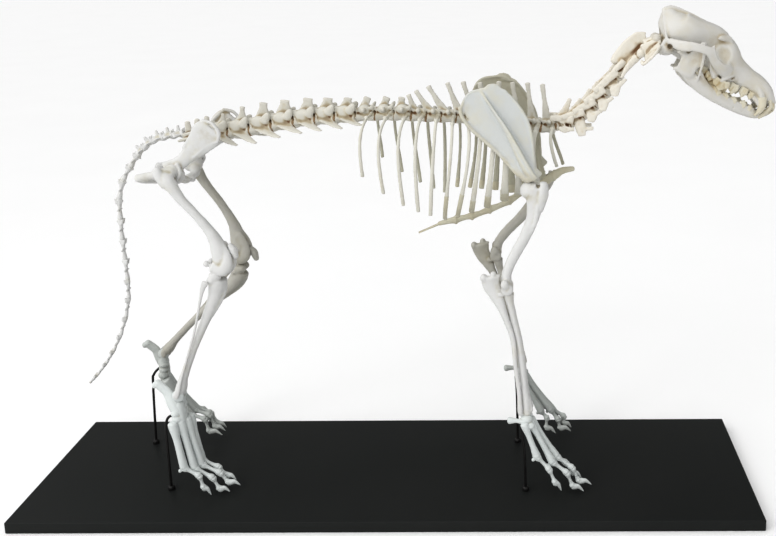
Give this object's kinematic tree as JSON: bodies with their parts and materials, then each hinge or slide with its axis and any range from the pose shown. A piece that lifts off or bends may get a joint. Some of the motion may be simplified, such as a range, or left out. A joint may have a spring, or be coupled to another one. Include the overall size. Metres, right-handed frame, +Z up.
{
  "type": "mounted dog skeleton",
  "caption": "Life-size skeleton of a medium-large dog in a walking stance, held by thin rods on a flat rectangular board.",
  "frame": {"origin": "centre of the board's underside", "axes": "+X to the animal's nose along the board, +Y to its left side, +Z up"},
  "size_m": [0.9191, 0.25, 0.6053],
  "materials": {
    "bone": "dry, bleached ivory bone",
    "lacquered_board": "black satin lacquer",
    "dark_rod": "black enamel"
  },
  "bodies": {
    "root": {"stand_base": "lacquered_board", "stand_rod_fore_right": "dark_rod", "stand_rod_fore_left": "dark_rod", "stand_rod_hind_right": "dark_rod", "stand_rod_hind_left": "dark_rod", "skull": "bone", "mandible": "bone", "sternum": "bone", "sacrum": "bone", "lumbar_spine": "bone", "thorax_right": "bone", "thorax_left": "bone", "neck": "bone", "axis": "bone", "atlas": "bone", "tail_base": "bone", "tail_middle": "bone", "tail_tip": "bone", "humerus_right": "bone", "scapula_right": "bone", "radius_right": "bone", "ulna_right": "bone", "forefoot_right": "bone", "femur_right": "bone", "patella_right": "bone", "tibia_right": "bone", "fibula_right": "bone", "hindfoot_right": "bone", "humerus_left": "bone", "scapula_left": "bone", "radius_left": "bone", "ulna_left": "bone", "forefoot_left": "bone", "femur_left": "bone", "patella_left": "bone", "tibia_left": "bone", "fibula_left": "bone", "hindfoot_left": "bone", "pelvis": "bone"}
  },
  "joints": []
}
